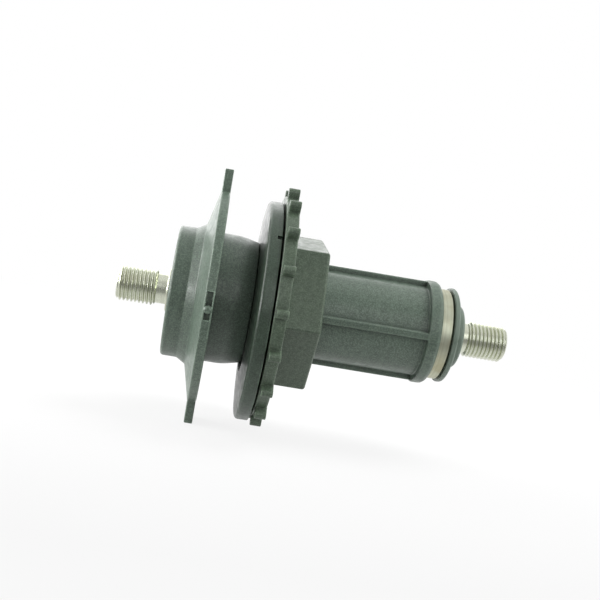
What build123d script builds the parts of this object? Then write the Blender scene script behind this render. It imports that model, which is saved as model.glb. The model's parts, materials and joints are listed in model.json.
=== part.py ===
from build123d import *
import os

# Axle hub of a garden machine: a moulded hub that a big nut clamps into a panel, with a
# threaded axle running through it on two sealed ball bearings.
# Millimetres. X runs along the axle, from the flange end (left) to the ribbed tube's end
# (right). Z points up through one ear of the flange. The origin is on the axle, in the plane
# of the flange's seating face.

# Axle: a plain bar with a turned and threaded stud at each end
axle_diameter = 17.0
stud_diameter = 14.0
stud_thread_length = 15.2
stud_tip_chamfer = 1.2
relief_diameter = 11.7
relief_length = 4.1
shoulder_proud = 1.05
shoulder_hidden = 0.85

# Ball bearings
bearing_diameter = 35.0
bearing_width = 8.0
ball_diameter = 3.969
ball_count = 11
race_clearance = 0.05
groove_depth = 0.8
ring_chamfer = 0.5
seal_thickness = 0.8
seal_recess = 0.3
seal_seat_step = 0.8
seal_lip_gap = 0.2
seal_dimple = 0.25
seal_bead = 0.9
cage_sheet = 0.5
cage_band = 2.1
cage_ball_gap = 0.12

# Retaining rings on the axle, one outside each bearing
clip_thickness = 1.0
clip_groove_depth = 0.4
clip_groove_slack = 0.1
clip_band = 2.3
clip_ear_width = 3.8
clip_ear_hole = 1.7
clip_ear_angle = 40.0
clip_gap = 3.0

# Spacer sleeve between the bearings
spacer_wall = 2.0
spacer_slip = 0.1

# Dust shield on the axle
shield_overlap = 0.9
shield_thickness = 2.0
shield_face_round = 0.4
shield_edge_round = 0.9
shield_boss_diameter = 24.4
shield_boss_length = 3.7
shield_boss_round = 1.2
shield_recess = 1.1
shield_clip_slack = 0.4

# Hub moulding, from the collar to the tube's end
collar_wall = 7.7
collar_length = 6.4
collar_edge_round = 1.2
bearing_recess = 1.3
flare_rise = 2.0
flare_length = 3.5
cone_length = 3.4
flange_reach = 13.8
flange_thickness = 3.3
flange_edge_round = 0.4
ear_reach = 8.0
ear_width = 14.0
ear_corner_round = 1.0
barrel_length = 7.1
taper_rise = 1.6
taper_length = 7.0
barrel_shoulder = 1.4
neck_length = 24.2
neck_lead_in = 1.0
nut_pass = 2.0
seat_step = 3.0
seat_lead_in = 0.5
tube_wall = 2.9
tube_length = 42.4
rib_count = 4
rib_height = 2.1
rib_width = 2.7
rib_edge_round = 0.5
end_collar_wall = 2.5
end_collar_length = 5.0
end_collar_round = 2.2
end_collar_back_round = 0.6
end_seat_shoulder = 1.3
gate_height = 10.0
gate_depth = 1.2
gate_side_wall = 0.5
gate_nub_diameter = 2.6
gate_nub_drop = 1.3

# Clamp washer, hanging loose on the hub's threaded neck
washer_slip = 1.1
washer_overlap = 1.4
washer_rim = 5.0
washer_dish = 1.1
washer_edge_round = 1.4
washer_back_round = 0.3
washer_gap = 0.2
hang_clearance = 0.1
washer_notch = 1.8
washer_notch_angle = 136.0

# Clamp nut
nut_gap = 0.7
nut_overlap = 0.2
nut_flange_thickness = 4.7
lug_count = 18
lug_height = 3.7
lug_width = 3.2
lug_root = 3.0
lug_setback = 0.5
lug_overhang = 0.1
hex_wall = 4.5
hex_length = 14.0
hex_edge = 1.0
hex_corner_angle = 128.0
thread_clearance = 0.1
nut_lead_in = 0.8

# Radii that follow from the sizes above
axle_radius = axle_diameter / 2
stud_radius = stud_diameter / 2
relief_radius = relief_diameter / 2
clip_seat_radius = axle_radius - clip_groove_depth
clip_ear_radius = clip_ear_width / 2
clip_reach = clip_seat_radius + clip_ear_width
bearing_radius = bearing_diameter / 2
ball_radius = ball_diameter / 2
pitch_radius = (axle_radius + bearing_radius) / 2
groove_radius = ball_radius + race_clearance
inner_land_radius = pitch_radius - groove_radius + groove_depth
outer_land_radius = pitch_radius + groove_radius - groove_depth
seal_seat_radius = outer_land_radius + seal_seat_step
seal_lip_radius = inner_land_radius + seal_lip_gap
cage_inner_radius = pitch_radius - cage_band / 2
cage_outer_radius = pitch_radius + cage_band / 2
pocket_radius = ball_radius + cage_ball_gap
spacer_bore_radius = axle_radius + spacer_slip
bore_radius = bearing_radius - seat_step
tube_radius = bore_radius + tube_wall
rib_radius = tube_radius + rib_height
rib_foot_radius = tube_radius - tube_wall / 2
end_collar_radius = bearing_radius + end_collar_wall
neck_radius = end_collar_radius + nut_pass
taper_radius = neck_radius + barrel_shoulder
barrel_radius = taper_radius + taper_rise
collar_radius = bearing_radius + collar_wall
flare_radius = collar_radius + flare_rise
flange_radius = flare_radius + flange_reach
ear_tip_radius = flange_radius + ear_reach
washer_bore_radius = taper_radius + washer_slip
washer_radius = flange_radius + washer_overlap
washer_drop = washer_bore_radius - neck_radius - hang_clearance
nut_flange_radius = washer_radius + nut_overlap
lug_tip_radius = nut_flange_radius + lug_height
hex_flat_radius = neck_radius + hex_wall
nut_bore_radius = neck_radius + thread_clearance
shield_radius = bearing_radius + shield_overlap
shield_boss_radius = shield_boss_diameter / 2
shield_recess_radius = clip_reach + shield_clip_slack

# Places along the axle that follow from the sizes above
flange_back = -flange_thickness
cone_start = flange_back - cone_length
flare_start = cone_start - flare_length
collar_face = flare_start - collar_length
taper_start = barrel_length
barrel_end = taper_start + taper_length
neck_end = barrel_end + neck_length
tube_end = neck_end + tube_length
hub_end = tube_end + end_collar_length
left_bearing_x = collar_face + bearing_recess
left_bearing_end = left_bearing_x + bearing_width
right_bearing_x = tube_end + end_seat_shoulder
right_bearing_end = right_bearing_x + bearing_width
left_clip_x = left_bearing_x - clip_thickness
right_clip_end = right_bearing_end + clip_thickness
shield_face = right_clip_end + shield_clip_slack - shield_recess
shield_step = shield_face + shield_thickness
shield_end = shield_step + shield_boss_length
left_shoulder = collar_face - shoulder_proud
left_thread_end = left_shoulder - relief_length
left_tip = left_thread_end - stud_thread_length
right_shoulder = shield_end - shoulder_hidden
right_thread_start = right_shoulder + relief_length
right_tip = right_thread_start + stud_thread_length
washer_hub_face = barrel_end + washer_gap
washer_rim_face = washer_hub_face + washer_dish
washer_back = washer_rim_face + washer_rim
nut_face = washer_back + nut_gap
nut_flange_back = nut_face + nut_flange_thickness
nut_end = nut_flange_back + hex_length

os.makedirs("parts", exist_ok=True)


def export_piece(piece, name):
    """Label a finished piece and write it under its own name."""
    piece.label = name
    export_step(piece, f"parts/{name}.step")


def across(x, z=0.0):
    """A plane square to the axle: its own x is Y, and its own y is Z."""
    return Plane(origin=(x, 0, z), x_dir=(0, 1, 0), z_dir=(1, 0, 0))


def turned(*profile, z=0.0):
    """Turn a closed outline of (place along the axle, radius) points about the axle's line."""
    with BuildSketch(Plane(origin=(0, 0, z), x_dir=(1, 0, 0), z_dir=(0, -1, 0))) as outline:
        with BuildLine():
            Polyline(*profile, close=True)
        make_face()
    revolve(outline.sketch, axis=Axis((0, 0, z), (1, 0, 0)))


def round_edges(piece, x, radius):
    """The round edges of a piece at one place along the axle and one radius."""
    same = 1e-4
    circles = piece.edges().filter_by(GeomType.CIRCLE)
    level = circles.filter_by(lambda edge: abs(edge.arc_center.X - x) < same)
    return level.filter_by(lambda edge: abs(edge.radius - radius) < same)


# Hub: one moulding with the collar, the eared flange, the barrel, the nut's neck and the tube
with BuildPart() as hub_body:
    turned(
        (collar_face, bore_radius),
        (collar_face, collar_radius),
        (flare_start, collar_radius),
        (cone_start, flare_radius),
        (flange_back, flange_radius),
        (0, flange_radius),
        (0, barrel_radius),
        (taper_start, barrel_radius),
        (barrel_end, taper_radius),
        (barrel_end, neck_radius),
        (neck_end - neck_lead_in, neck_radius),
        (neck_end, neck_radius - neck_lead_in),
        (neck_end, tube_radius),
        (tube_end, tube_radius),
        (tube_end, end_collar_radius),
        (hub_end, end_collar_radius),
        (hub_end, bore_radius),
    )
    fillet(round_edges(hub_body, collar_face, collar_radius), collar_edge_round)
    fillet(round_edges(hub_body, flange_back, flange_radius), flange_edge_round)
    fillet(round_edges(hub_body, 0, flange_radius), flange_edge_round)
    fillet(round_edges(hub_body, tube_end, end_collar_radius), end_collar_back_round)
    fillet(round_edges(hub_body, hub_end, end_collar_radius), end_collar_round)

    # Two ears on the flange, up and down
    with BuildSketch(across(flange_back)):
        ear_length = ear_tip_radius - barrel_radius
        with PolarLocations(ear_tip_radius - ear_length / 2, 2, start_angle=90):
            RectangleRounded(ear_length, ear_width, ear_corner_round)
    extrude(amount=flange_thickness)

    # Ribs along the tube
    with BuildSketch(across(neck_end)):
        with PolarLocations((rib_foot_radius + rib_radius) / 2, rib_count):
            RectangleRounded(rib_radius - rib_foot_radius, rib_width, rib_edge_round)
    extrude(amount=tube_length)

    # Seats of the two bearings
    with BuildSketch(across(collar_face)):
        Circle(bearing_radius)
    extrude(amount=left_bearing_end - collar_face, mode=Mode.SUBTRACT)
    with BuildSketch(across(right_bearing_x)):
        Circle(bearing_radius)
    extrude(amount=hub_end - right_bearing_x, mode=Mode.SUBTRACT)
    chamfer(round_edges(hub_body, collar_face, bearing_radius), seat_lead_in)

    # Pocket of the mould's gate in the flange's rim, with the nub that the gate left
    rim_plane = Plane(origin=(flange_back / 2, -flange_radius, 0), x_dir=(1, 0, 0), z_dir=(0, 1, 0))
    with BuildSketch(rim_plane):
        Rectangle(flange_thickness - 2 * gate_side_wall, gate_height)
    extrude(amount=gate_depth, mode=Mode.SUBTRACT)
    with BuildSketch(rim_plane.offset(gate_depth)):
        with Locations((0, gate_nub_drop)):
            Circle(gate_nub_diameter / 2)
    extrude(amount=-gate_depth)
export_piece(hub_body.part, "hub_body")


# Clamp washer: a shallow dished disc, hanging on the neck by its bore
with BuildPart() as clamp_washer:
    turned(
        (washer_hub_face, washer_bore_radius),
        (washer_rim_face, washer_radius),
        (washer_back, washer_radius),
        (washer_back, washer_bore_radius),
        z=-washer_drop,
    )
    fillet(round_edges(clamp_washer, washer_rim_face, washer_radius), washer_edge_round)
    fillet(round_edges(clamp_washer, washer_back, washer_radius), washer_back_round)
    with BuildSketch(across(washer_back, -washer_drop)):
        with PolarLocations(washer_radius, 1, start_angle=washer_notch_angle):
            Rectangle(washer_notch, washer_notch)
    extrude(amount=-washer_notch, mode=Mode.SUBTRACT)
export_piece(clamp_washer.part, "clamp_washer")


# Clamp nut: a hexagon on a round flange with grip lugs
with BuildPart() as clamp_nut:
    turned(
        (nut_face, nut_bore_radius),
        (nut_face, nut_flange_radius),
        (nut_flange_back, nut_flange_radius),
        (nut_flange_back, nut_bore_radius),
    )
    with BuildSketch(across(nut_face + lug_setback)):
        lug_length = lug_root + lug_height
        first_lug = hex_corner_angle + 180 / lug_count
        with PolarLocations(lug_tip_radius - lug_length / 2, lug_count, start_angle=first_lug):
            SlotOverall(lug_length, lug_width)
    extrude(amount=nut_flange_thickness - lug_setback + lug_overhang)
    with BuildSketch(across(nut_flange_back)):
        RegularPolygon(hex_flat_radius, 6, major_radius=False, rotation=hex_corner_angle)
        Circle(nut_bore_radius, mode=Mode.SUBTRACT)
    extrude(amount=hex_length)
    hex_face = clamp_nut.faces().sort_by(Axis.X)[-1]
    chamfer(hex_face.outer_wire().edges(), hex_edge)
    chamfer(round_edges(clamp_nut, nut_end, nut_bore_radius), nut_lead_in)
export_piece(clamp_nut.part, "clamp_nut")


# Axle: grooved for its retaining rings, turned down to a threaded stud at each end
with BuildPart() as axle:
    turned(
        (left_tip, 0),
        (left_tip, stud_radius - stud_tip_chamfer),
        (left_tip + stud_tip_chamfer, stud_radius),
        (left_thread_end, stud_radius),
        (left_thread_end, relief_radius),
        (left_shoulder, relief_radius),
        (left_shoulder, axle_radius),
        (left_clip_x - clip_groove_slack, axle_radius),
        (left_clip_x - clip_groove_slack, clip_seat_radius),
        (left_bearing_x, clip_seat_radius),
        (left_bearing_x, axle_radius),
        (right_bearing_end, axle_radius),
        (right_bearing_end, clip_seat_radius),
        (right_clip_end + clip_groove_slack, clip_seat_radius),
        (right_clip_end + clip_groove_slack, axle_radius),
        (right_shoulder, axle_radius),
        (right_shoulder, relief_radius),
        (right_thread_start, relief_radius),
        (right_thread_start, stud_radius),
        (right_tip - stud_tip_chamfer, stud_radius),
        (right_tip, stud_radius - stud_tip_chamfer),
        (right_tip, 0),
    )
export_piece(axle.part, "axle")


# Spacer sleeve: keeps the bearings' inner rings apart
with BuildPart() as spacer_sleeve:
    turned(
        (left_bearing_end, spacer_bore_radius),
        (left_bearing_end, spacer_bore_radius + spacer_wall),
        (right_bearing_x, spacer_bore_radius + spacer_wall),
        (right_bearing_x, spacer_bore_radius),
    )
export_piece(spacer_sleeve.part, "spacer_sleeve")


# Dust shield: a stepped disc that covers the right bearing
with BuildPart() as dust_shield:
    turned(
        (shield_face, shield_recess_radius),
        (shield_face, shield_radius),
        (shield_step, shield_radius),
        (shield_step, shield_boss_radius),
        (shield_end, shield_boss_radius),
        (shield_end, axle_radius),
        (shield_face + shield_recess, axle_radius),
        (shield_face + shield_recess, shield_recess_radius),
    )
    fillet(round_edges(dust_shield, shield_face, shield_radius), shield_face_round)
    fillet(round_edges(dust_shield, shield_step, shield_radius), shield_edge_round)
    fillet(round_edges(dust_shield, shield_end, shield_boss_radius), shield_boss_round)
export_piece(dust_shield.part, "dust_shield")


def retaining_ring(name, x, side):
    """An open spring ring in its groove, its gap up for side 1 and down for side -1."""
    with BuildPart() as clip:
        with BuildSketch(Plane(origin=(x, 0, 0), x_dir=(0, side, 0), z_dir=(1, 0, 0))):
            ear_centre = clip_seat_radius + clip_ear_radius
            ears = PolarLocations(ear_centre, 2, 90 - clip_ear_angle / 2, clip_ear_angle, endpoint=True)
            Circle(clip_seat_radius + clip_band)
            with ears:
                Circle(clip_ear_radius)
            Circle(clip_seat_radius, mode=Mode.SUBTRACT)
            with Locations((0, ear_centre)):
                Rectangle(clip_gap, 2 * clip_ear_width, mode=Mode.SUBTRACT)
            with ears:
                Circle(clip_ear_hole / 2, mode=Mode.SUBTRACT)
        extrude(amount=clip_thickness)
    export_piece(clip.part, name)


retaining_ring("left_retaining_ring", left_clip_x, 1)
retaining_ring("right_retaining_ring", right_bearing_end, -1)


def ball_bearing(name, x):
    """The pieces of one sealed ball bearing whose left face is at x."""
    end = x + bearing_width
    middle = x + bearing_width / 2
    seal_depth = seal_recess + seal_thickness

    with BuildPart() as outer_ring:
        turned(
            (x, seal_seat_radius),
            (x, bearing_radius - ring_chamfer),
            (x + ring_chamfer, bearing_radius),
            (end - ring_chamfer, bearing_radius),
            (end, bearing_radius - ring_chamfer),
            (end, seal_seat_radius),
            (end - seal_depth, seal_seat_radius),
            (end - seal_depth, outer_land_radius),
            (x + seal_depth, outer_land_radius),
            (x + seal_depth, seal_seat_radius),
        )
        ball_groove(middle)
    export_piece(outer_ring.part, f"{name}_outer_ring")

    with BuildPart() as inner_ring:
        turned(
            (x + ring_chamfer, axle_radius),
            (x, axle_radius + ring_chamfer),
            (x, inner_land_radius),
            (end, inner_land_radius),
            (end, axle_radius + ring_chamfer),
            (end - ring_chamfer, axle_radius),
        )
        ball_groove(middle)
    export_piece(inner_ring.part, f"{name}_inner_ring")

    with BuildPart(across(middle)) as balls:
        with PolarLocations(pitch_radius, ball_count):
            Sphere(ball_radius)
    export_piece(balls.part, f"{name}_balls")

    for side, way in (("left", -1), ("right", 1)):
        cage_half(f"{name}_cage_{side}", middle, way)
        seal(f"{name}_seal_{side}", middle + way * (bearing_width / 2 - seal_recess), way)


def ball_groove(middle):
    """Cut the balls' running groove into a bearing ring."""
    with BuildSketch(Plane.XZ) as groove:
        with Locations((middle, pitch_radius)):
            Circle(groove_radius)
    revolve(groove.sketch, axis=Axis.X, mode=Mode.SUBTRACT)


def cage_half(name, middle, way):
    """One pressed half of the ribbon cage: a flat ring with a round pocket for each ball."""
    reach = pocket_radius + cage_sheet
    with BuildPart(across(middle)) as half:
        cage_ring(middle, way * cage_sheet, Mode.ADD)
        with PolarLocations(pitch_radius, ball_count):
            Sphere(reach)
        cage_ring(middle, way * reach, Mode.INTERSECT)
        with PolarLocations(pitch_radius, ball_count):
            Sphere(pocket_radius, mode=Mode.SUBTRACT)
    export_piece(half.part, name)


def cage_ring(middle, depth, mode):
    """A flat ring as wide as the cage's band, standing on the bearing's middle plane."""
    with BuildSketch(across(middle)) as band:
        Circle(cage_outer_radius)
        Circle(cage_inner_radius, mode=Mode.SUBTRACT)
    extrude(band.sketch, amount=depth, mode=mode)


def seal(name, face, way):
    """A rubber seal held in the outer ring, with a shallow dimple turned in its outside face."""
    back = face - way * seal_thickness
    dimple = face - way * seal_dimple
    with BuildPart() as ring:
        turned(
            (face, seal_lip_radius),
            (face, seal_lip_radius + seal_bead),
            (dimple, seal_lip_radius + seal_bead),
            (dimple, seal_seat_radius - seal_bead),
            (face, seal_seat_radius - seal_bead),
            (face, seal_seat_radius),
            (back, seal_seat_radius),
            (back, seal_lip_radius),
        )
    export_piece(ring.part, name)


ball_bearing("left_bearing", left_bearing_x)
ball_bearing("right_bearing", right_bearing_x)
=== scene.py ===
# %% [markdown]
# # Axle hub
# This is the axle hub of a garden machine. A big lugged nut clamps its moulded body into a panel,
# and a threaded axle turns through it on two sealed bearings. The frame brings the solids, in
# metres, with +X along the axle and +Z up. This lesson adds what the solids leave plain: threads
# that really wind, softened edges, and finishes with grain and wear.

# %% Load the frame
import json
from math import ceil, cos, floor, pi, radians, sin, tan

import bmesh
import bpy
from mathutils import Matrix, Vector


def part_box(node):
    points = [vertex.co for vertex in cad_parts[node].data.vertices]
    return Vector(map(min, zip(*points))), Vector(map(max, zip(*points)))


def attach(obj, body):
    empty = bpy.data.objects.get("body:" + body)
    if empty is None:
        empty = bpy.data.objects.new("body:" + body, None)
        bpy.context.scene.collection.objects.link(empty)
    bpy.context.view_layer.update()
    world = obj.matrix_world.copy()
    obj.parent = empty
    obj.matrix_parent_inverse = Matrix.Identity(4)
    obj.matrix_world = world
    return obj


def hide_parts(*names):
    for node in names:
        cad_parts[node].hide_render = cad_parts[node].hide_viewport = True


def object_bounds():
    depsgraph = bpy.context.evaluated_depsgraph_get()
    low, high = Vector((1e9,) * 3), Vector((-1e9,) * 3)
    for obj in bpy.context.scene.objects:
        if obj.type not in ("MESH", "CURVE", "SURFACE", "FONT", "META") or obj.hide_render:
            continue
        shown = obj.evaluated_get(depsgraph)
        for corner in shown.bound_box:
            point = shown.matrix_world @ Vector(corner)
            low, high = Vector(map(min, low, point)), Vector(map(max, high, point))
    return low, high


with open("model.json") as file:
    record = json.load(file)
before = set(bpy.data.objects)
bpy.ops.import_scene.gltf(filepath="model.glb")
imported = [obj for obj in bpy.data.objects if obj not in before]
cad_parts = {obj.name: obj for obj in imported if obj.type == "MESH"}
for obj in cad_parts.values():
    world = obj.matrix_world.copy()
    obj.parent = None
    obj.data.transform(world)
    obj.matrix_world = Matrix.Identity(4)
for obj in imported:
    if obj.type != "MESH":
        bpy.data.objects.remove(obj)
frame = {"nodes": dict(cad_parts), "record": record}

cad_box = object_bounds()
nodes = frame["nodes"]

# %% [markdown]
# ## Camera
# The picture looks at the hub from the side and a little from above, from close by: the discs near
# the flange are seen edge on, and those at the tube's end open into ovals. So the lens faces the
# flange, and a small shift slides the frame along to take in the whole axle. The axle drops to the
# right because the camera is rolled, so the roll is worked out from that slope. A camera's own axes
# are the columns of its matrix: right, up, and back towards the viewer. Filling them in one by one is
# exact, where a Track To constraint would keep the picture level.

# %% Aim the camera
mm = 0.001
swing = radians(2.14)
rise = radians(4.8)
axle_slope = radians(9.40)
view_distance = 370 * mm
view_centre = Vector((7.8, 0, 0)) * mm

back = Vector((-sin(swing) * cos(rise), -cos(swing) * cos(rise), sin(rise)))
level = Vector((cos(swing), -sin(swing), 0))
upright = back.cross(level)
roll = axle_slope + upright.x / level.x
right = level * cos(roll) + upright * sin(roll)
up = back.cross(right)

lens_angle = radians(34.8)
frame_shift = 0.112
lens = bpy.data.cameras.new("side_view")
lens.angle = lens_angle
lens.shift_x = frame_shift
camera = bpy.data.objects.new("side_view", lens)
bpy.context.scene.collection.objects.link(camera)
for column, direction in enumerate((right, up, back)):
    for row in range(3):
        camera.matrix_world[row][column] = direction[row]
camera.matrix_world.translation = view_centre + back * view_distance
bpy.context.scene.camera = camera
print("the camera stands", round(view_distance, 3), "m away and is rolled", round(roll, 3), "rad")

# %% [markdown]
# ## Building blocks for node trees
# The floor, the light and every finish are node trees: no pictures, so they hold at any distance.
# Noise in object coordinates is measured in metres, and a noise of scale 1000 has spots about a
# millimetre wide. Small helpers keep the trees readable, and a value that is the same all over a
# surface goes straight on the shader's own socket.

# %% Helpers for signals


def place_on_piece(tree):
    """The point's place on the piece, in metres."""
    return tree.nodes.new("ShaderNodeTexCoord").outputs["Object"]


def speckle(tree, scale, detail=3.0, where=None):
    """Cloudy noise from 0 to 1 with spots about 1/scale metres wide."""
    noise = tree.nodes.new("ShaderNodeTexNoise")
    noise.inputs["Scale"].default_value = scale
    noise.inputs["Detail"].default_value = detail
    tree.links.new(where or place_on_piece(tree), noise.inputs["Vector"])
    return noise.outputs[0]


def squeezed(tree, scales):
    """The point's place with each axis scaled, for noise that is drawn out along an axis."""
    squeeze = tree.nodes.new("ShaderNodeVectorMath")
    squeeze.operation = "MULTIPLY"
    squeeze.inputs[1].default_value = scales
    tree.links.new(place_on_piece(tree), squeeze.inputs[0])
    return squeeze.outputs[0]


def spread(tree, source, low, high, start=0.35, end=0.65):
    """Stretch a signal: start becomes low and end becomes high."""
    stretch = tree.nodes.new("ShaderNodeMapRange")
    for socket, value in (("From Min", start), ("From Max", end), ("To Min", low), ("To Max", high)):
        stretch.inputs[socket].default_value = value
    tree.links.new(source, stretch.inputs["Value"])
    return stretch.outputs["Result"]


def mixed(tree, share, first, second):
    """Blend two colours, or a colour with a socket, by a signal."""
    mix = tree.nodes.new("ShaderNodeMix")
    mix.data_type = "RGBA"
    tree.links.new(share, mix.inputs[0])
    for socket, colour in ((mix.inputs[6], first), (mix.inputs[7], second)):
        if isinstance(colour, tuple):
            socket.default_value = (*colour, 1)
        else:
            tree.links.new(colour, socket)
    return mix.outputs[2]


def together(tree, way, first, second):
    """Two signals worked into one, such as by MULTIPLY or MAXIMUM."""
    result = tree.nodes.new("ShaderNodeMath")
    result.operation = way
    tree.links.new(first, result.inputs[0])
    tree.links.new(second, result.inputs[1])
    return result.outputs[0]


def blended(tree, share, first, second):
    """Two shaders mixed by a signal: 0 gives the first and 1 the second."""
    blend = tree.nodes.new("ShaderNodeMixShader")
    for socket, source in zip(blend.inputs, (share, first, second)):
        tree.links.new(source, socket)
    return blend.outputs[0]


print("helpers for signals are ready")

# %% Helpers for finishes


def new_finish(name, **plain):
    """A material whose shader takes these plain values. Returns the material, its tree and shader."""
    finish = bpy.data.materials.new(name)
    finish.use_nodes = True
    shader = finish.node_tree.nodes["Principled BSDF"]
    for socket, value in plain.items():
        shader.inputs[socket.replace("_", " ")].default_value = value
    return finish, finish.node_tree, shader


def relief(tree, height, depth, strength, under=None):
    """Bump of a depth in metres from a height signal."""
    bump = tree.nodes.new("ShaderNodeBump")
    bump.inputs["Strength"].default_value = strength
    bump.inputs["Distance"].default_value = depth
    tree.links.new(height, bump.inputs["Height"])
    if under:
        tree.links.new(under, bump.inputs["Normal"])
    return bump.outputs["Normal"]


def softened_edge(tree, radius):
    """The normal with sharp edges rounded, and a signal that is 1 on those edges."""
    bevel = tree.nodes.new("ShaderNodeBevel")
    bevel.samples = 6
    bevel.inputs["Radius"].default_value = radius
    plain = tree.nodes.new("ShaderNodeNewGeometry")
    agree = tree.nodes.new("ShaderNodeVectorMath")
    agree.operation = "DOT_PRODUCT"
    tree.links.new(bevel.outputs[0], agree.inputs[0])
    tree.links.new(plain.outputs["Normal"], agree.inputs[1])
    return bevel.outputs[0], spread(tree, agree.outputs["Value"], 0, 1, start=0.995, end=0.86)


def shaded_corner(tree, reach):
    """A signal that is 1 deep in corners, where little light reaches, and 0 on open skin: painted shade."""
    corner = tree.nodes.new("ShaderNodeAmbientOcclusion")
    corner.samples = 6
    corner.only_local = True
    corner.inputs["Distance"].default_value = reach
    return spread(tree, corner.outputs["AO"], 1, 0, start=0.3, end=0.8)


print("helpers for finishes are ready")

# %% [markdown]
# ## Floor
# Parts like this are photographed in a white tent: soft light comes from above and from the flange
# end, the background is plain white, and the side that the camera looks in through is open and dim.
# A lamp bright enough to bleach the floor would bleach the hub too. So the floor shows white to the
# camera and to shiny metal, and lights the hub at a gentler level. It fades to full white a hand's
# breadth from the hub, which leaves the soft shadow and hides the horizon. Towards the camera the
# paper is painted darker, as painted shade, so it throws back less light there. The glow that metal
# sees is painted darker there too: a painted dark reflection, which draws the dark band along the studs.

# %% Lay the floor
scene = bpy.context.scene
scene.view_settings.view_transform = "Standard"


def seen_directly(tree):
    """1 for what the camera or a mirror-like surface sees, 0 for light on its way to a dull one."""
    ray = tree.nodes.new("ShaderNodeLightPath").outputs
    mirrored = together(tree, "MAXIMUM", ray["Is Glossy Ray"], ray["Is Transmission Ray"])
    return together(tree, "MAXIMUM", ray["Is Camera Ray"], mirrored)


floor_size = 4.0
bpy.ops.mesh.primitive_plane_add(size=floor_size, location=(0, 0, cad_box[0].z))
tent_floor = bpy.context.object
tent_floor.name = "tent_floor"
print("the floor lies", round(-cad_box[0].z, 3), "m under the axle")

# %% Make the floor's paper
floor_white = bpy.data.materials.new("floor_white")
floor_white.use_nodes = True
tree = floor_white.node_tree
tree.nodes.clear()
towards_back = tree.nodes.new("ShaderNodeSeparateXYZ")
tree.links.new(place_on_piece(tree), towards_back.inputs[0])
from_hub = tree.nodes.new("ShaderNodeVectorMath")
from_hub.operation = "LENGTH"
tree.links.new(place_on_piece(tree), from_hub.inputs[0])

paper = tree.nodes.new("ShaderNodeBsdfDiffuse")
# Painted shade: the paper is darker towards the camera, so it throws back less light there.
paper_painted_dark_in_front = spread(tree, towards_back.outputs["Y"], 0.4, 0.9, start=-0.15, end=0.05)
tree.links.new(paper_painted_dark_in_front, paper.inputs["Color"])

glow = tree.nodes.new("ShaderNodeEmission")
# Painted reflection: the glow that metal sees darkens towards the camera, which draws the dark band along
# the studs.
mirrored_glow_painted_dark = spread(tree, towards_back.outputs["Y"], 0.25, 0.92, start=-0.10, end=-0.03)
by_camera = tree.nodes.new("ShaderNodeLightPath").outputs["Is Camera Ray"]
tree.links.new(together(tree, "MAXIMUM", mirrored_glow_painted_dark, by_camera), glow.inputs["Color"])

fade = spread(tree, from_hub.outputs["Value"], 0.84, 1.0, start=0.12, end=0.45)
fade.node.interpolation_type = "SMOOTHSTEP"
glowing = together(tree, "MULTIPLY", seen_directly(tree), fade)
surface = tree.nodes.new("ShaderNodeOutputMaterial")
tree.links.new(blended(tree, glowing, paper.outputs[0], glow.outputs[0]), surface.inputs["Surface"])
tent_floor.data.materials.append(floor_white)
print("the floor has the material", floor_white.name)

# %% [markdown]
# ## Tent and lamps
# The tent's walls are the world. The camera sees them white, metal mirrors them with their dim open
# side, and dull surfaces get only a little light from them. Six softboxes do the rest. The largest
# stands at the flange's end and is the main light, and a small one beside it puts a sheen on the
# flare. One hangs above, one stands at the tube's end and one behind, and a weak one in front draws
# the bright band along the studs. Gloss mirrors a lamp as a patch, so the lamps above and at the
# tube's end, which would only leave blots, are hidden from it.

# %% Hang the tent
world = bpy.data.worlds.new("white_tent")
world.use_nodes = True
scene.world = world
tree = world.node_tree
tree.nodes.clear()


def tent_wall(tree, strength):
    """A white wall all round that dims towards the open side, where the camera looks in."""
    way = tree.nodes.new("ShaderNodeSeparateXYZ")
    wall = tree.nodes.new("ShaderNodeBackground")
    wall.inputs["Strength"].default_value = strength
    tree.links.new(tree.nodes.new("ShaderNodeTexCoord").outputs["Generated"], way.inputs[0])
    tree.links.new(spread(tree, way.outputs["Y"], 0.2, 1, start=-1, end=-0.35), wall.inputs["Color"])
    return wall.outputs[0]


ambient = 0.22
seen_white = tree.nodes.new("ShaderNodeBackground")
seen_white.inputs["Color"].default_value = (1, 1, 1, 1)
by_camera = tree.nodes.new("ShaderNodeLightPath").outputs["Is Camera Ray"]
lit_or_mirrored = blended(tree, seen_directly(tree), tent_wall(tree, ambient), tent_wall(tree, 1))
surface = tree.nodes.new("ShaderNodeOutputWorld")
tree.links.new(blended(tree, by_camera, lit_or_mirrored, seen_white.outputs[0]), surface.inputs["Surface"])
print("the tent lights the hub at", ambient, "of its white")

# %% Place the lamps
hub_middle = Vector((33.5, 0, 0)) * mm


def softbox(name, place, width, power, mirrored):
    """A square lamp at a place in metres, facing the middle of the hub, which gloss may mirror."""
    lamp = bpy.data.lights.new(name, "AREA")
    lamp.size = width
    lamp.energy = power
    box = bpy.data.objects.new(name, lamp)
    box.location = place
    box.rotation_euler = (Vector(place) - hub_middle).to_track_quat("Z", "Y").to_euler()
    box.visible_camera = False
    box.visible_glossy = mirrored
    scene.collection.objects.link(box)


softbox("flange_side_box", (-0.95, 0.15, 0.25), 0.8, 13.5, True)
softbox("flange_front_box", (-0.92, -0.5, 0.06), 0.38, 5, True)
softbox("top_box", (0.4, 0.1, 1.0), 0.6, 8.5, False)
softbox("tube_side_box", (0.95, -0.4, 0.4), 0.6, 7, False)
softbox("front_box", (0.3, -1.0, 0.42), 0.65, 1.8, True)
softbox("back_box", (-0.25, 1.1, 0.5), 1.2, 6.5, True)
print("the tent has", len(bpy.data.lights), "lamps")

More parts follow.
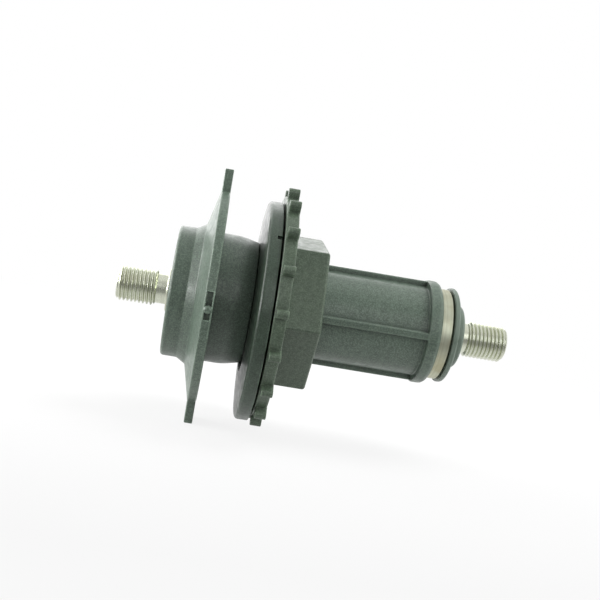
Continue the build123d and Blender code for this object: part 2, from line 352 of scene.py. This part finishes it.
# %% [markdown]
# ## Moulded plastic
# The hub, the washer and the nut are moulded in a dark grey-green plastic, filled with glass fibre.
# Its skin is matt with a fine grain and flecks of fibre, and cloudy where the melt flowed. Pulling
# the part out of its mould drags faint lines over it. The corners are darkened as painted shade, and
# the edges are paled, partly as rubbed wear and partly as painted highlight. Each of these is one
# more colour mixed over the last. One function makes all three plastics, so they stay relatives:
# the nut has the coarsest grain and the washer the smoothest.

# %% Make the plastics


def moulded_plastic(name, dark, pale, drag_scales, grain_depth, gloss):
    """Matt plastic between two colours, with mould grain, drag marks, painted corner shade and pale edges
    that are partly wear, partly painted highlight.
    """
    finish, tree, shader = new_finish(name, Specular_IOR_Level=0.5)
    grain = speckle(tree, 2200, 3)
    cloud = spread(tree, speckle(tree, 45, 4), 0, 1)
    mottle = spread(tree, speckle(tree, 700, 4), 0, 0.6)
    fleck = spread(tree, grain, 0, 0.55, start=0.45)
    drag = spread(tree, speckle(tree, 1, 3, squeezed(tree, drag_scales)), 0, 0.16, start=0.5, end=0.75)
    # Painted shade: corners that little light reaches are darkened, and their edges are kept from paling.
    corner_shade = shaded_corner(tree, 2.2 * mm)
    # Pale edges: partly rubbed wear and partly a painted highlight, as bright lines along the edges.
    worn_and_highlit_edge = softened_edge(tree, 0.9 * mm)[1]
    for share in (spread(tree, speckle(tree, 260), 0.3, 1), spread(tree, corner_shade, 1, 0, start=0, end=0.5)):
        worn_and_highlit_edge = together(tree, "MULTIPLY", worn_and_highlit_edge, share)

    colour = mixed(tree, cloud, dark, pale)
    for share, base, strength in (
        (mottle, dark, 0.65),
        (fleck, pale, 1.9),
        (drag, pale, 1.7),
        # painted shade in the corners
        (corner_shade, dark, 0.4),
        # pale edges: partly wear, partly painted highlight
        (worn_and_highlit_edge, pale, 3.2),
    ):
        colour = mixed(tree, share, colour, tuple(strength * part for part in base))
    tree.links.new(colour, shader.inputs["Base Color"])
    tree.links.new(spread(tree, speckle(tree, 350), gloss - 0.05, gloss + 0.08), shader.inputs["Roughness"])
    skin = relief(tree, grain, grain_depth, 0.4, softened_edge(tree, 0.35 * mm)[0])
    flow = relief(tree, speckle(tree, 620, 4), 0.035 * mm, 0.35, skin)
    tree.links.new(relief(tree, speckle(tree, 160), 0.1 * mm, 0.12, flow), shader.inputs["Normal"])
    return finish


along_axle = (900, 25, 25)
up_the_nut = (700, 60, 60)
hub_plastic = moulded_plastic(
    "hub_plastic", (0.070, 0.099, 0.075), (0.090, 0.123, 0.095), along_axle, 0.012 * mm, 0.35
)
nut_plastic = moulded_plastic(
    "nut_plastic", (0.050, 0.073, 0.048), (0.066, 0.092, 0.063), up_the_nut, 0.022 * mm, 0.37
)
washer_plastic = moulded_plastic(
    "washer_plastic", (0.028, 0.044, 0.030), (0.037, 0.056, 0.039), along_axle, 0.008 * mm, 0.33
)
print("made", hub_plastic.name, nut_plastic.name, washer_plastic.name)

# %% [markdown]
# ## Turned and ground steel
# The axle is turned from bright bar, and the bearing rings are ground. A lathe leaves fine rings
# round the work, on its flat ends as well as along it. Noise that only changes with the place along
# the axle plus a share of the radius gives rings on both. Oil and handling tint the metal warm in
# soft patches.

# %% Make the steels


def lathe_marks(tree, scale):
    """Noise in rings round the axle."""
    where = place_on_piece(tree)
    apart = tree.nodes.new("ShaderNodeSeparateXYZ")
    flat = tree.nodes.new("ShaderNodeVectorMath")
    flat.operation = "MULTIPLY"
    flat.inputs[1].default_value = (0, 1, 1)
    radius = tree.nodes.new("ShaderNodeVectorMath")
    radius.operation = "LENGTH"
    along = tree.nodes.new("ShaderNodeMath")
    along.operation = "MULTIPLY_ADD"
    along.inputs[1].default_value = 0.7
    rings = tree.nodes.new("ShaderNodeTexNoise")
    rings.noise_dimensions = "1D"
    rings.inputs["Scale"].default_value = scale
    rings.inputs["Detail"].default_value = 4
    tree.links.new(where, apart.inputs[0])
    tree.links.new(where, flat.inputs[0])
    tree.links.new(flat.outputs[0], radius.inputs[0])
    tree.links.new(radius.outputs["Value"], along.inputs[0])
    tree.links.new(apart.outputs["X"], along.inputs[2])
    tree.links.new(along.outputs[0], rings.inputs["W"])
    return rings.outputs[0]


def turned_steel(name, clean, tinted, gloss, ring_scale, ring_depth):
    """Metal with lathe rings, warm patches and bright worn edges."""
    finish, tree, shader = new_finish(name, Metallic=1.0)
    rings = lathe_marks(tree, ring_scale)
    patch = spread(tree, speckle(tree, 140, 4), 0, 1)
    edge_normal, edge = softened_edge(tree, 0.15 * mm)
    colour = mixed(tree, patch, clean, tinted)
    ringed = mixed(tree, spread(tree, rings, 0, 0.35), colour, tuple(0.62 * part for part in tinted))
    bright = mixed(tree, spread(tree, edge, 0, 0.6, start=0, end=1), ringed, (0.82, 0.81, 0.78))
    tree.links.new(bright, shader.inputs["Base Color"])
    tree.links.new(spread(tree, rings, gloss - 0.06, gloss + 0.1), shader.inputs["Roughness"])
    tree.links.new(relief(tree, rings, ring_depth, 0.4, edge_normal), shader.inputs["Normal"])
    return finish


axle_steel = turned_steel("axle_steel", (0.75, 0.78, 0.665), (0.67, 0.69, 0.555), 0.30, 5000, 0.012 * mm)
bearing_steel = turned_steel("bearing_steel", (0.59, 0.62, 0.49), (0.43, 0.42, 0.29), 0.40, 3500, 0.01 * mm)
spacer_steel = turned_steel("spacer_steel", (0.52, 0.51, 0.48), (0.44, 0.42, 0.37), 0.38, 2500, 0.015 * mm)
cage_steel = turned_steel("cage_steel", (0.58, 0.57, 0.53), (0.50, 0.48, 0.42), 0.34, 1200, 0.008 * mm)
ball_steel = turned_steel("ball_steel", (0.78, 0.78, 0.77), (0.74, 0.73, 0.70), 0.10, 900, 0.001 * mm)
spring_steel = turned_steel("spring_steel", (0.15, 0.15, 0.15), (0.10, 0.095, 0.085), 0.36, 3000, 0.01 * mm)
print("made", axle_steel.name, "and five more steels")

# %% [markdown]
# ## Rubber
# The dust shield and the bearings' seals are moulded rubber. It is never quite black: dust sits in
# its pores and greys its edges, most of all on the shield, and grease leaves smoother patches. Two
# noises, one for dust and one for gloss, are enough.

# %% Make the rubbers


def moulded_rubber(name, black, dusty, gloss):
    """Dark rubber with dust in its pores and on its edges."""
    finish, tree, shader = new_finish(name, Specular_IOR_Level=0.45)
    pores = speckle(tree, 1800, 4)
    edge_normal, edge = softened_edge(tree, 0.25 * mm)
    dusted = mixed(tree, spread(tree, speckle(tree, 130, 4), 0, 0.8), black, dusty)
    greyed = spread(tree, edge, 0, 0.5, start=0, end=1)
    edged = mixed(tree, greyed, dusted, tuple(1.8 * part for part in dusty))
    tree.links.new(edged, shader.inputs["Base Color"])
    tree.links.new(spread(tree, speckle(tree, 260), gloss - 0.08, gloss + 0.1), shader.inputs["Roughness"])
    tree.links.new(relief(tree, pores, 0.03 * mm, 0.4, edge_normal), shader.inputs["Normal"])
    return finish


shield_rubber = moulded_rubber("shield_rubber", (0.112, 0.148, 0.118), (0.150, 0.190, 0.155), 0.34)
seal_rubber = moulded_rubber("seal_rubber", (0.016, 0.016, 0.016), (0.030, 0.030, 0.029), 0.5)
print("made", shield_rubber.name, seal_rubber.name)

# %% [markdown]
# ## Turning a piece
# Most of the hub is round about the axle, and so are the tools that would make its mould. Blender's
# Spin does the same: it sweeps an outline round an axis. Real corners are never sharp, so a corner
# may carry a rounding, which becomes a few short facets. Outlines are in millimetres as a drawing
# would give them.

# %% Helpers for turned pieces


def soften(corners, facets=4):
    """Round an outline's corners. A corner is (x, radius) or (x, radius, rounding)."""
    points = []
    for index, corner in enumerate(corners):
        here = Vector(corner[:2])
        if len(corner) == 2:
            points.append(here)
            continue
        before = (Vector(corners[index - 1][:2]) - here).normalized()
        after = (Vector(corners[(index + 1) % len(corners)][:2]) - here).normalized()
        half = before.angle(after) / 2
        centre = here + (before + after).normalized() * (corner[2] / sin(half))
        first = here + before * (corner[2] / tan(half)) - centre
        last = here + after * (corner[2] / tan(half)) - centre
        for step in range(facets + 1):
            points.append(centre + first.lerp(last, step / facets).normalized() * corner[2])
    return points


def turn(skin, corners, around):
    """Spin an outline round the axle, into the skin of a piece."""
    points = [skin.verts.new((x * mm, 0, radius * mm)) for x, radius in soften(corners)]
    sides = [skin.edges.new(pair) for pair in zip(points, points[1:])]
    bmesh.ops.spin(
        skin, geom=points + sides, cent=(0, 0, 0), axis=(1, 0, 0), angle=2 * pi, steps=around, use_merge=True
    )


def piece_from(skin, name):
    """Weld a skin shut and make it an object."""
    bmesh.ops.remove_doubles(skin, verts=skin.verts, dist=0.002 * mm)
    bmesh.ops.dissolve_degenerate(skin, edges=skin.edges, dist=0.0005 * mm)
    bmesh.ops.recalc_face_normals(skin, faces=skin.faces)
    open_edges = sum(not edge.is_manifold for edge in skin.edges)
    mesh = bpy.data.meshes.new(name)
    skin.to_mesh(mesh)
    skin.free()
    piece = bpy.data.objects.new(name, mesh)
    scene.collection.objects.link(piece)
    print(name, "has", len(mesh.polygons), "faces and", open_edges, "open edges")
    return piece


print("helpers for turned pieces are ready")

# %% [markdown]
# ## Winding a thread
# A thread is an outline that climbs as it goes round: one pitch for each turn. Screw modifiers end
# in ragged fins, so here each point of the thread's form gets a row of its own that winds round the
# axle. At both ends the rows are held back by a limiting outline, the way a chamfer or a relief
# groove trims a real thread. There they fall together on one ring, which welds to the plain turning
# next to it.

# %% Helper for threads


def height_at(limits, x):
    """The radius of a limiting outline at x."""
    for (x0, r0), (x1, r1) in zip(limits, limits[1:]):
        if x <= x1:
            return r0 + (r1 - r0) * (x - x0) / (x1 - x0)
    return limits[-1][1]


def wind_thread(skin, form, pitch, limits, trim, around):
    """Wind a right-handed thread between the ends of its limiting outline.

    form lists (share of a pitch, radius), and trim is min outside a piece or max in a hole.
    """
    first, last = limits[0][0], limits[-1][0]
    rows = []
    for winding in range(floor(first / pitch) - 1, ceil(last / pitch) + 1):
        for share, radius in form:
            row = []
            for step in range(around + 1):
                x = min(max(pitch * (winding + share + step / around), first), last)
                reach = trim(radius, height_at(limits, x))
                angle = 2 * pi * step / around
                row.append(skin.verts.new((x * mm, -reach * sin(angle) * mm, reach * cos(angle) * mm)))
            rows.append(row)
    for low, high in zip(rows, rows[1:]):
        for step in range(around):
            skin.faces.new((low[step], low[step + 1], high[step + 1], high[step]))
    return len(rows)


def thread_form(crest, root, crest_share, flank_share, facets=3):
    """One pitch of a thread: its crest, a flank down, its root and a flank up."""
    half = crest_share / 2
    rising = 1 - half - flank_share
    step = flank_share / facets
    drop = (root - crest) / facets
    form = [(-half, crest), (0, crest), (half, crest)]
    form += [(half + step * k, crest + drop * k) for k in range(1, facets + 1)]
    form += [(0.5, root)]
    form += [(rising + step * k, root - drop * k) for k in range(facets)]
    return form


print("the thread helper is ready")

# %% [markdown]
# ## Axle
# The axle is one steel bar with a fine-threaded stud turned on each end, and a relief groove where
# each thread stops. The frame's axle has smooth studs, so a new piece stands for it. The bar, the
# grooves and the ends are one outline, and the two threads are wound into the gaps that it leaves.

# %% Turn the axle
axle_around = 96
left_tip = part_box("axle")[0].x / mm
right_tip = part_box("axle")[1].x / mm
stud_length = 15.2
relief_length = 4.1
stud_radius = 7.0
tip_radius = 5.8
relief_radius = 5.85
bar_radius = 8.5
clip_seat_radius = 8.1
left_stop = left_tip + stud_length
right_stop = right_tip - stud_length
left_shoulder = left_stop + relief_length
right_shoulder = right_stop - relief_length
left_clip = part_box("left_retaining_ring")
right_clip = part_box("right_retaining_ring")
groove_slack = 0.1

axle_skin = bmesh.new()
turn(axle_skin, [(left_tip, 0), (left_tip, tip_radius)], axle_around)
turn(
    axle_skin,
    [
        (left_stop, relief_radius),
        (left_shoulder, relief_radius, 0.5),
        (left_shoulder, bar_radius, 0.3),
        (left_clip[0].x / mm - groove_slack, bar_radius),
        (left_clip[0].x / mm - groove_slack, clip_seat_radius),
        (left_clip[1].x / mm, clip_seat_radius),
        (left_clip[1].x / mm, bar_radius),
        (right_clip[0].x / mm, bar_radius),
        (right_clip[0].x / mm, clip_seat_radius),
        (right_clip[1].x / mm + groove_slack, clip_seat_radius),
        (right_clip[1].x / mm + groove_slack, bar_radius),
        (right_shoulder, bar_radius, 0.3),
        (right_shoulder, relief_radius, 0.5),
        (right_stop, relief_radius),
    ],
    axle_around,
)
turn(axle_skin, [(right_tip, tip_radius), (right_tip, 0)], axle_around)

stud_pitch = 1.5
tip_chamfer = 1.2
run_out = 0.6
stud_form = thread_form(stud_radius, 6.08, 0.2, 0.28)
left_limits = [
    (left_tip, tip_radius),
    (left_tip + tip_chamfer, stud_radius),
    (left_stop - run_out, stud_radius),
    (left_stop, relief_radius),
]
right_limits = [
    (right_stop, relief_radius),
    (right_stop + run_out, stud_radius),
    (right_tip - tip_chamfer, stud_radius),
    (right_tip, tip_radius),
]
wind_thread(axle_skin, stud_form, stud_pitch, left_limits, min, axle_around)
wind_thread(axle_skin, stud_form, stud_pitch, right_limits, min, axle_around)
threaded_axle = piece_from(axle_skin, "threaded_axle")

# %% [markdown]
# ## Blocks and cuts
# Ears, ribs and lugs stand on round bodies. Each is a block with bevelled edges that is sunk a
# little into its carrier and joined by a Boolean, which is how a mould is made too: pockets are
# added to and cut out of a turned core. A small helper applies the Boolean at once, so the finished
# mesh is all that is left.

# %% Helpers for blocks


def block(name, low, high, rounding):
    """A box between two corners in millimetres, with rounded edges."""
    skin = bmesh.new()
    bmesh.ops.create_cube(skin, size=1)
    middle = (Vector(low) + Vector(high)) / 2 * mm
    size = (Vector(high) - Vector(low)) * mm
    for point in skin.verts:
        point.co = middle + Vector(side * edge for side, edge in zip(size, point.co))
    bmesh.ops.bevel(
        skin, geom=skin.edges[:], offset=rounding * mm, segments=3, profile=0.5, affect="EDGES"
    )
    return piece_from(skin, name)


def combine(carrier, tool, way):
    """Join a tool to its carrier (UNION) or cut it out (DIFFERENCE)."""
    step = carrier.modifiers.new("step", "BOOLEAN")
    step.operation = way
    step.solver = "EXACT"
    step.object = tool
    bpy.context.view_layer.update()
    done = carrier.evaluated_get(bpy.context.evaluated_depsgraph_get())
    mesh = bpy.data.meshes.new_from_object(done)
    mesh.name = carrier.name
    carrier.modifiers.clear()
    carrier.data = mesh
    bpy.data.objects.remove(tool)


print("helpers for blocks are ready")

# %% [markdown]
# ## Hub moulding
# The hub is one moulding: a collar round the left bearing, a flare into the eared flange, a barrel
# for the panel's hole, the neck with the nut's thread, and the ribbed tube with a collar round the
# right bearing. Its outline runs from the neck's end round the tube, back through the bore, and over
# the flange to the neck's start. The coarse thread closes the gap between them.

# %% Turn the hub
hub_around = 180
neck_root = 20.4
neck_radius = 22.0
hub_skin = bmesh.new()
turn(
    hub_skin,
    [
        (38.3, neck_root),
        (38.3, 17.4, 0.5),
        (80.7, 17.4, 0.5),
        (80.7, 20.0, 0.6),
        (85.7, 20.0, 2.2),
        (85.7, 17.5, 0.1),
        (82.0, 17.5),
        (82.0, 14.5, 0.3),
        (-7.3, 14.5, 0.3),
        (-7.3, 17.5),
        (-16.1, 17.5),
        (-16.6, 18.0),
        (-16.6, 25.2, 1.2),
        (-10.2, 25.2, 0.8),
        (-6.7, 27.2, 1.0),
        (-3.3, 41.0, 0.4),
        (0.0, 41.0, 0.4),
        (0.0, 25.0, 0.3),
        (7.1, 25.0, 24.0),
        (14.1, 23.4, 0.4),
        (14.1, neck_root, 0.3),
        (15.6, neck_root),
    ],
    hub_around,
)
neck_pitch = 3.0
neck_form = thread_form(neck_radius, 20.5, 0.26, 0.2)
neck_limits = [(15.6, neck_root), (16.9, neck_radius), (36.7, neck_radius), (38.3, neck_root)]
wind_thread(hub_skin, neck_form, neck_pitch, neck_limits, min, hub_around)
hub = piece_from(hub_skin, "hub_moulding")

# %% Add the ears, the ribs and the gate's pocket
ear_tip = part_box("hub_body")[1].z / mm
ear_foot = 30.0
ear_half = 7.0
ear_front, ear_back = -3.28, -0.02
for side in (1, -1):
    near, far = sorted((side * ear_foot, side * ear_tip))
    combine(hub, block("ear", (ear_front, -ear_half, near), (ear_back, ear_half, far), 0.35), "UNION")

rib_reach = 19.5
rib_foot = 16.0
rib_half = 1.35
rib_start, rib_end = 37.6, 81.4
for side in (1, -1):
    low, high = sorted((side * rib_foot, side * rib_reach))
    combine(hub, block("rib", (rib_start, low, -rib_half), (rib_end, high, rib_half), 0.5), "UNION")
    combine(hub, block("rib", (rib_start, -rib_half, low), (rib_end, rib_half, high), 0.5), "UNION")

pocket_half = 5.0
pocket_floor = 39.8
past_rim = 43.0
combine(
    hub,
    block("pocket", (-2.8, -past_rim, -pocket_half), (-0.5, -pocket_floor, pocket_half), 0.2),
    "DIFFERENCE",
)
nub_radius = 1.5
nub_length = 3.1
nub_foot = Vector((-1.65, -38.6, -1.3)) * mm
nub_skin = bmesh.new()
turn(nub_skin, [(0, 0), (0, nub_radius), (nub_length, nub_radius, 0.9), (nub_length, 0)], 32)
nub = piece_from(nub_skin, "gate_nub")
nub.data.transform(Matrix.Translation(nub_foot) @ Matrix.Rotation(-pi / 2, 4, "Z"))
combine(hub, nub, "UNION")
print("the hub now has", len(hub.data.polygons), "faces")

# %% [markdown]
# ## Clamp nut
# The nut is a round flange with grip lugs, and a hexagon for a big spanner. All of it is solid at
# first. A threaded core, wound by the same helper and a little larger than the neck, is then cut
# out of it, so the nut's thread meshes with the neck's and still runs free when the nut turns.

# %% Make the nut's body
nut_low, nut_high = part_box("clamp_nut")
nut_face = nut_low.x / mm
nut_end = nut_high.x / mm
nut_flange_thickness = 4.7
nut_flange_radius = 42.6
flange_back = nut_face + nut_flange_thickness
nut_skin = bmesh.new()
turn(
    nut_skin,
    [
        (nut_face, 0),
        (nut_face, nut_flange_radius, 0.4),
        (flange_back, nut_flange_radius, 0.6),
        (flange_back, 0),
    ],
    hub_around,
)
nut = piece_from(nut_skin, "lugged_nut")


def prism(name, corners, low, high, rounding, side_rounding):
    """A bar along the axle with these (y, z) corners, its edges rounded."""
    skin = bmesh.new()
    outline = [skin.verts.new((low * mm, y * mm, z * mm)) for y, z in corners]
    grown = bmesh.ops.extrude_face_region(skin, geom=[skin.faces.new(outline)])
    ends = [item for item in grown["geom"] if isinstance(item, bmesh.types.BMVert)]
    bmesh.ops.translate(skin, verts=ends, vec=((high - low) * mm, 0, 0))
    rims = [edge for edge in skin.edges if edge.verts[0].co.x == edge.verts[1].co.x]
    bmesh.ops.bevel(skin, geom=rims, offset=rounding * mm, segments=3, profile=0.5, affect="EDGES")
    along = [edge for edge in skin.edges if edge.verts[0].co.x != edge.verts[1].co.x]
    if side_rounding:
        bmesh.ops.bevel(skin, geom=along, offset=side_rounding * mm, segments=3, profile=0.5, affect="EDGES")
    return piece_from(skin, name)


def polar(radius, degrees, middle=(0, 0)):
    """A (y, z) point at a radius and an angle from +Y towards +Z."""
    angle = radians(degrees)
    return (middle[0] + radius * cos(angle), middle[1] + radius * sin(angle))


corner_angle = 128
spanner_half = 26.5
corner_radius = spanner_half / cos(radians(30))
hexagon = [polar(corner_radius, corner_angle + 60 * k) for k in range(6)]
combine(nut, prism("hexagon", hexagon, nut_face + 2.5, nut_end, 1.0, 0.5), "UNION")

# %% Add the lugs
lug_count = 18
lug_half = 1.6
lug_tip = 46.3
lug_root = 39.6
for k in range(lug_count):
    angle = corner_angle + 10 + 360 / lug_count * k
    tip_centre = polar(lug_tip - lug_half, angle)
    outline = [polar(lug_half, angle - 90 + 18 * step, tip_centre) for step in range(11)]
    outline += [polar(lug_half, angle + 90 * side, polar(lug_root, angle)) for side in (1, -1)]
    combine(nut, prism("lug", outline, nut_face + 0.5, flange_back + 0.1, 0.3, 0), "UNION")
print("the nut now has", len(nut.data.polygons), "faces")

# %% Cut the nut's thread
core_skin = bmesh.new()
core_start, core_end = nut_face - 0.5, nut_end + 0.5
mouth_start, mouth_end = 23.0, 23.4
inside_radius, outside_radius = 20.75, 22.1
core_limits = [
    (core_start, mouth_start),
    (core_start + mouth_start - inside_radius, inside_radius),
    (core_end - mouth_end + inside_radius, inside_radius),
    (core_end, mouth_end),
]
turn(core_skin, [(core_start, 0), (core_start, mouth_start)], hub_around)
turn(core_skin, [(core_end, mouth_end), (core_end, 0)], hub_around)
core_form = thread_form(outside_radius, inside_radius, 0.32, 0.2)
wind_thread(core_skin, core_form, neck_pitch, core_limits, max, hub_around)
combine(nut, piece_from(core_skin, "threaded_core"), "DIFFERENCE")
print("the threaded nut has", len(nut.data.polygons), "faces")

# %% [markdown]
# ## Putting the pieces on the frame
# Each new piece rides on the body that carries it and stands for the solid it improves on, which is
# hidden. Shading is smooth except across real corners, and the Weighted Normal modifier keeps broad
# faces flat next to their narrow roundings.

# %% Place the new pieces
smoothed_below = radians(32)


def dress(piece, body, node, finish):
    """Give a new piece its finish, its body and the solid that it stands for."""
    piece.data.materials.clear()
    piece.data.materials.append(finish)
    piece.data.shade_smooth()
    piece.data.set_sharp_from_angle(angle=smoothed_below)
    weighted = piece.modifiers.new("flat_faces", "WEIGHTED_NORMAL")
    weighted.keep_sharp = True
    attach(piece, body)
    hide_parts(node)
    print(piece.name, "rides on", body)


dress(hub, "hub", "hub_body", hub_plastic)
dress(nut, "nut", "clamp_nut", nut_plastic)
dress(threaded_axle, "axle", "axle", axle_steel)

# %% [markdown]
# ## Finishes for the frame's own pieces
# The washer, the shield, the clips, the spacer and the bearings already have their true shape in
# the frame. They only need their finish, and the record says which slot each of them uses, so a
# table from slot to finish dresses them all.

# %% Dress the frame's pieces
finish_of_slot = {
    "hub_plastic": hub_plastic,
    "nut_plastic": nut_plastic,
    "washer_plastic": washer_plastic,
    "axle_steel": axle_steel,
    "bearing_steel": bearing_steel,
    "spacer_steel": spacer_steel,
    "cage_steel": cage_steel,
    "ball_steel": ball_steel,
    "spring_steel": spring_steel,
    "shield_rubber": shield_rubber,
    "seal_rubber": seal_rubber,
}
for entry in frame["record"]["subparts"]:
    for place in nodes[entry["node"]].material_slots:
        place.material = finish_of_slot[entry["material_slot"]]
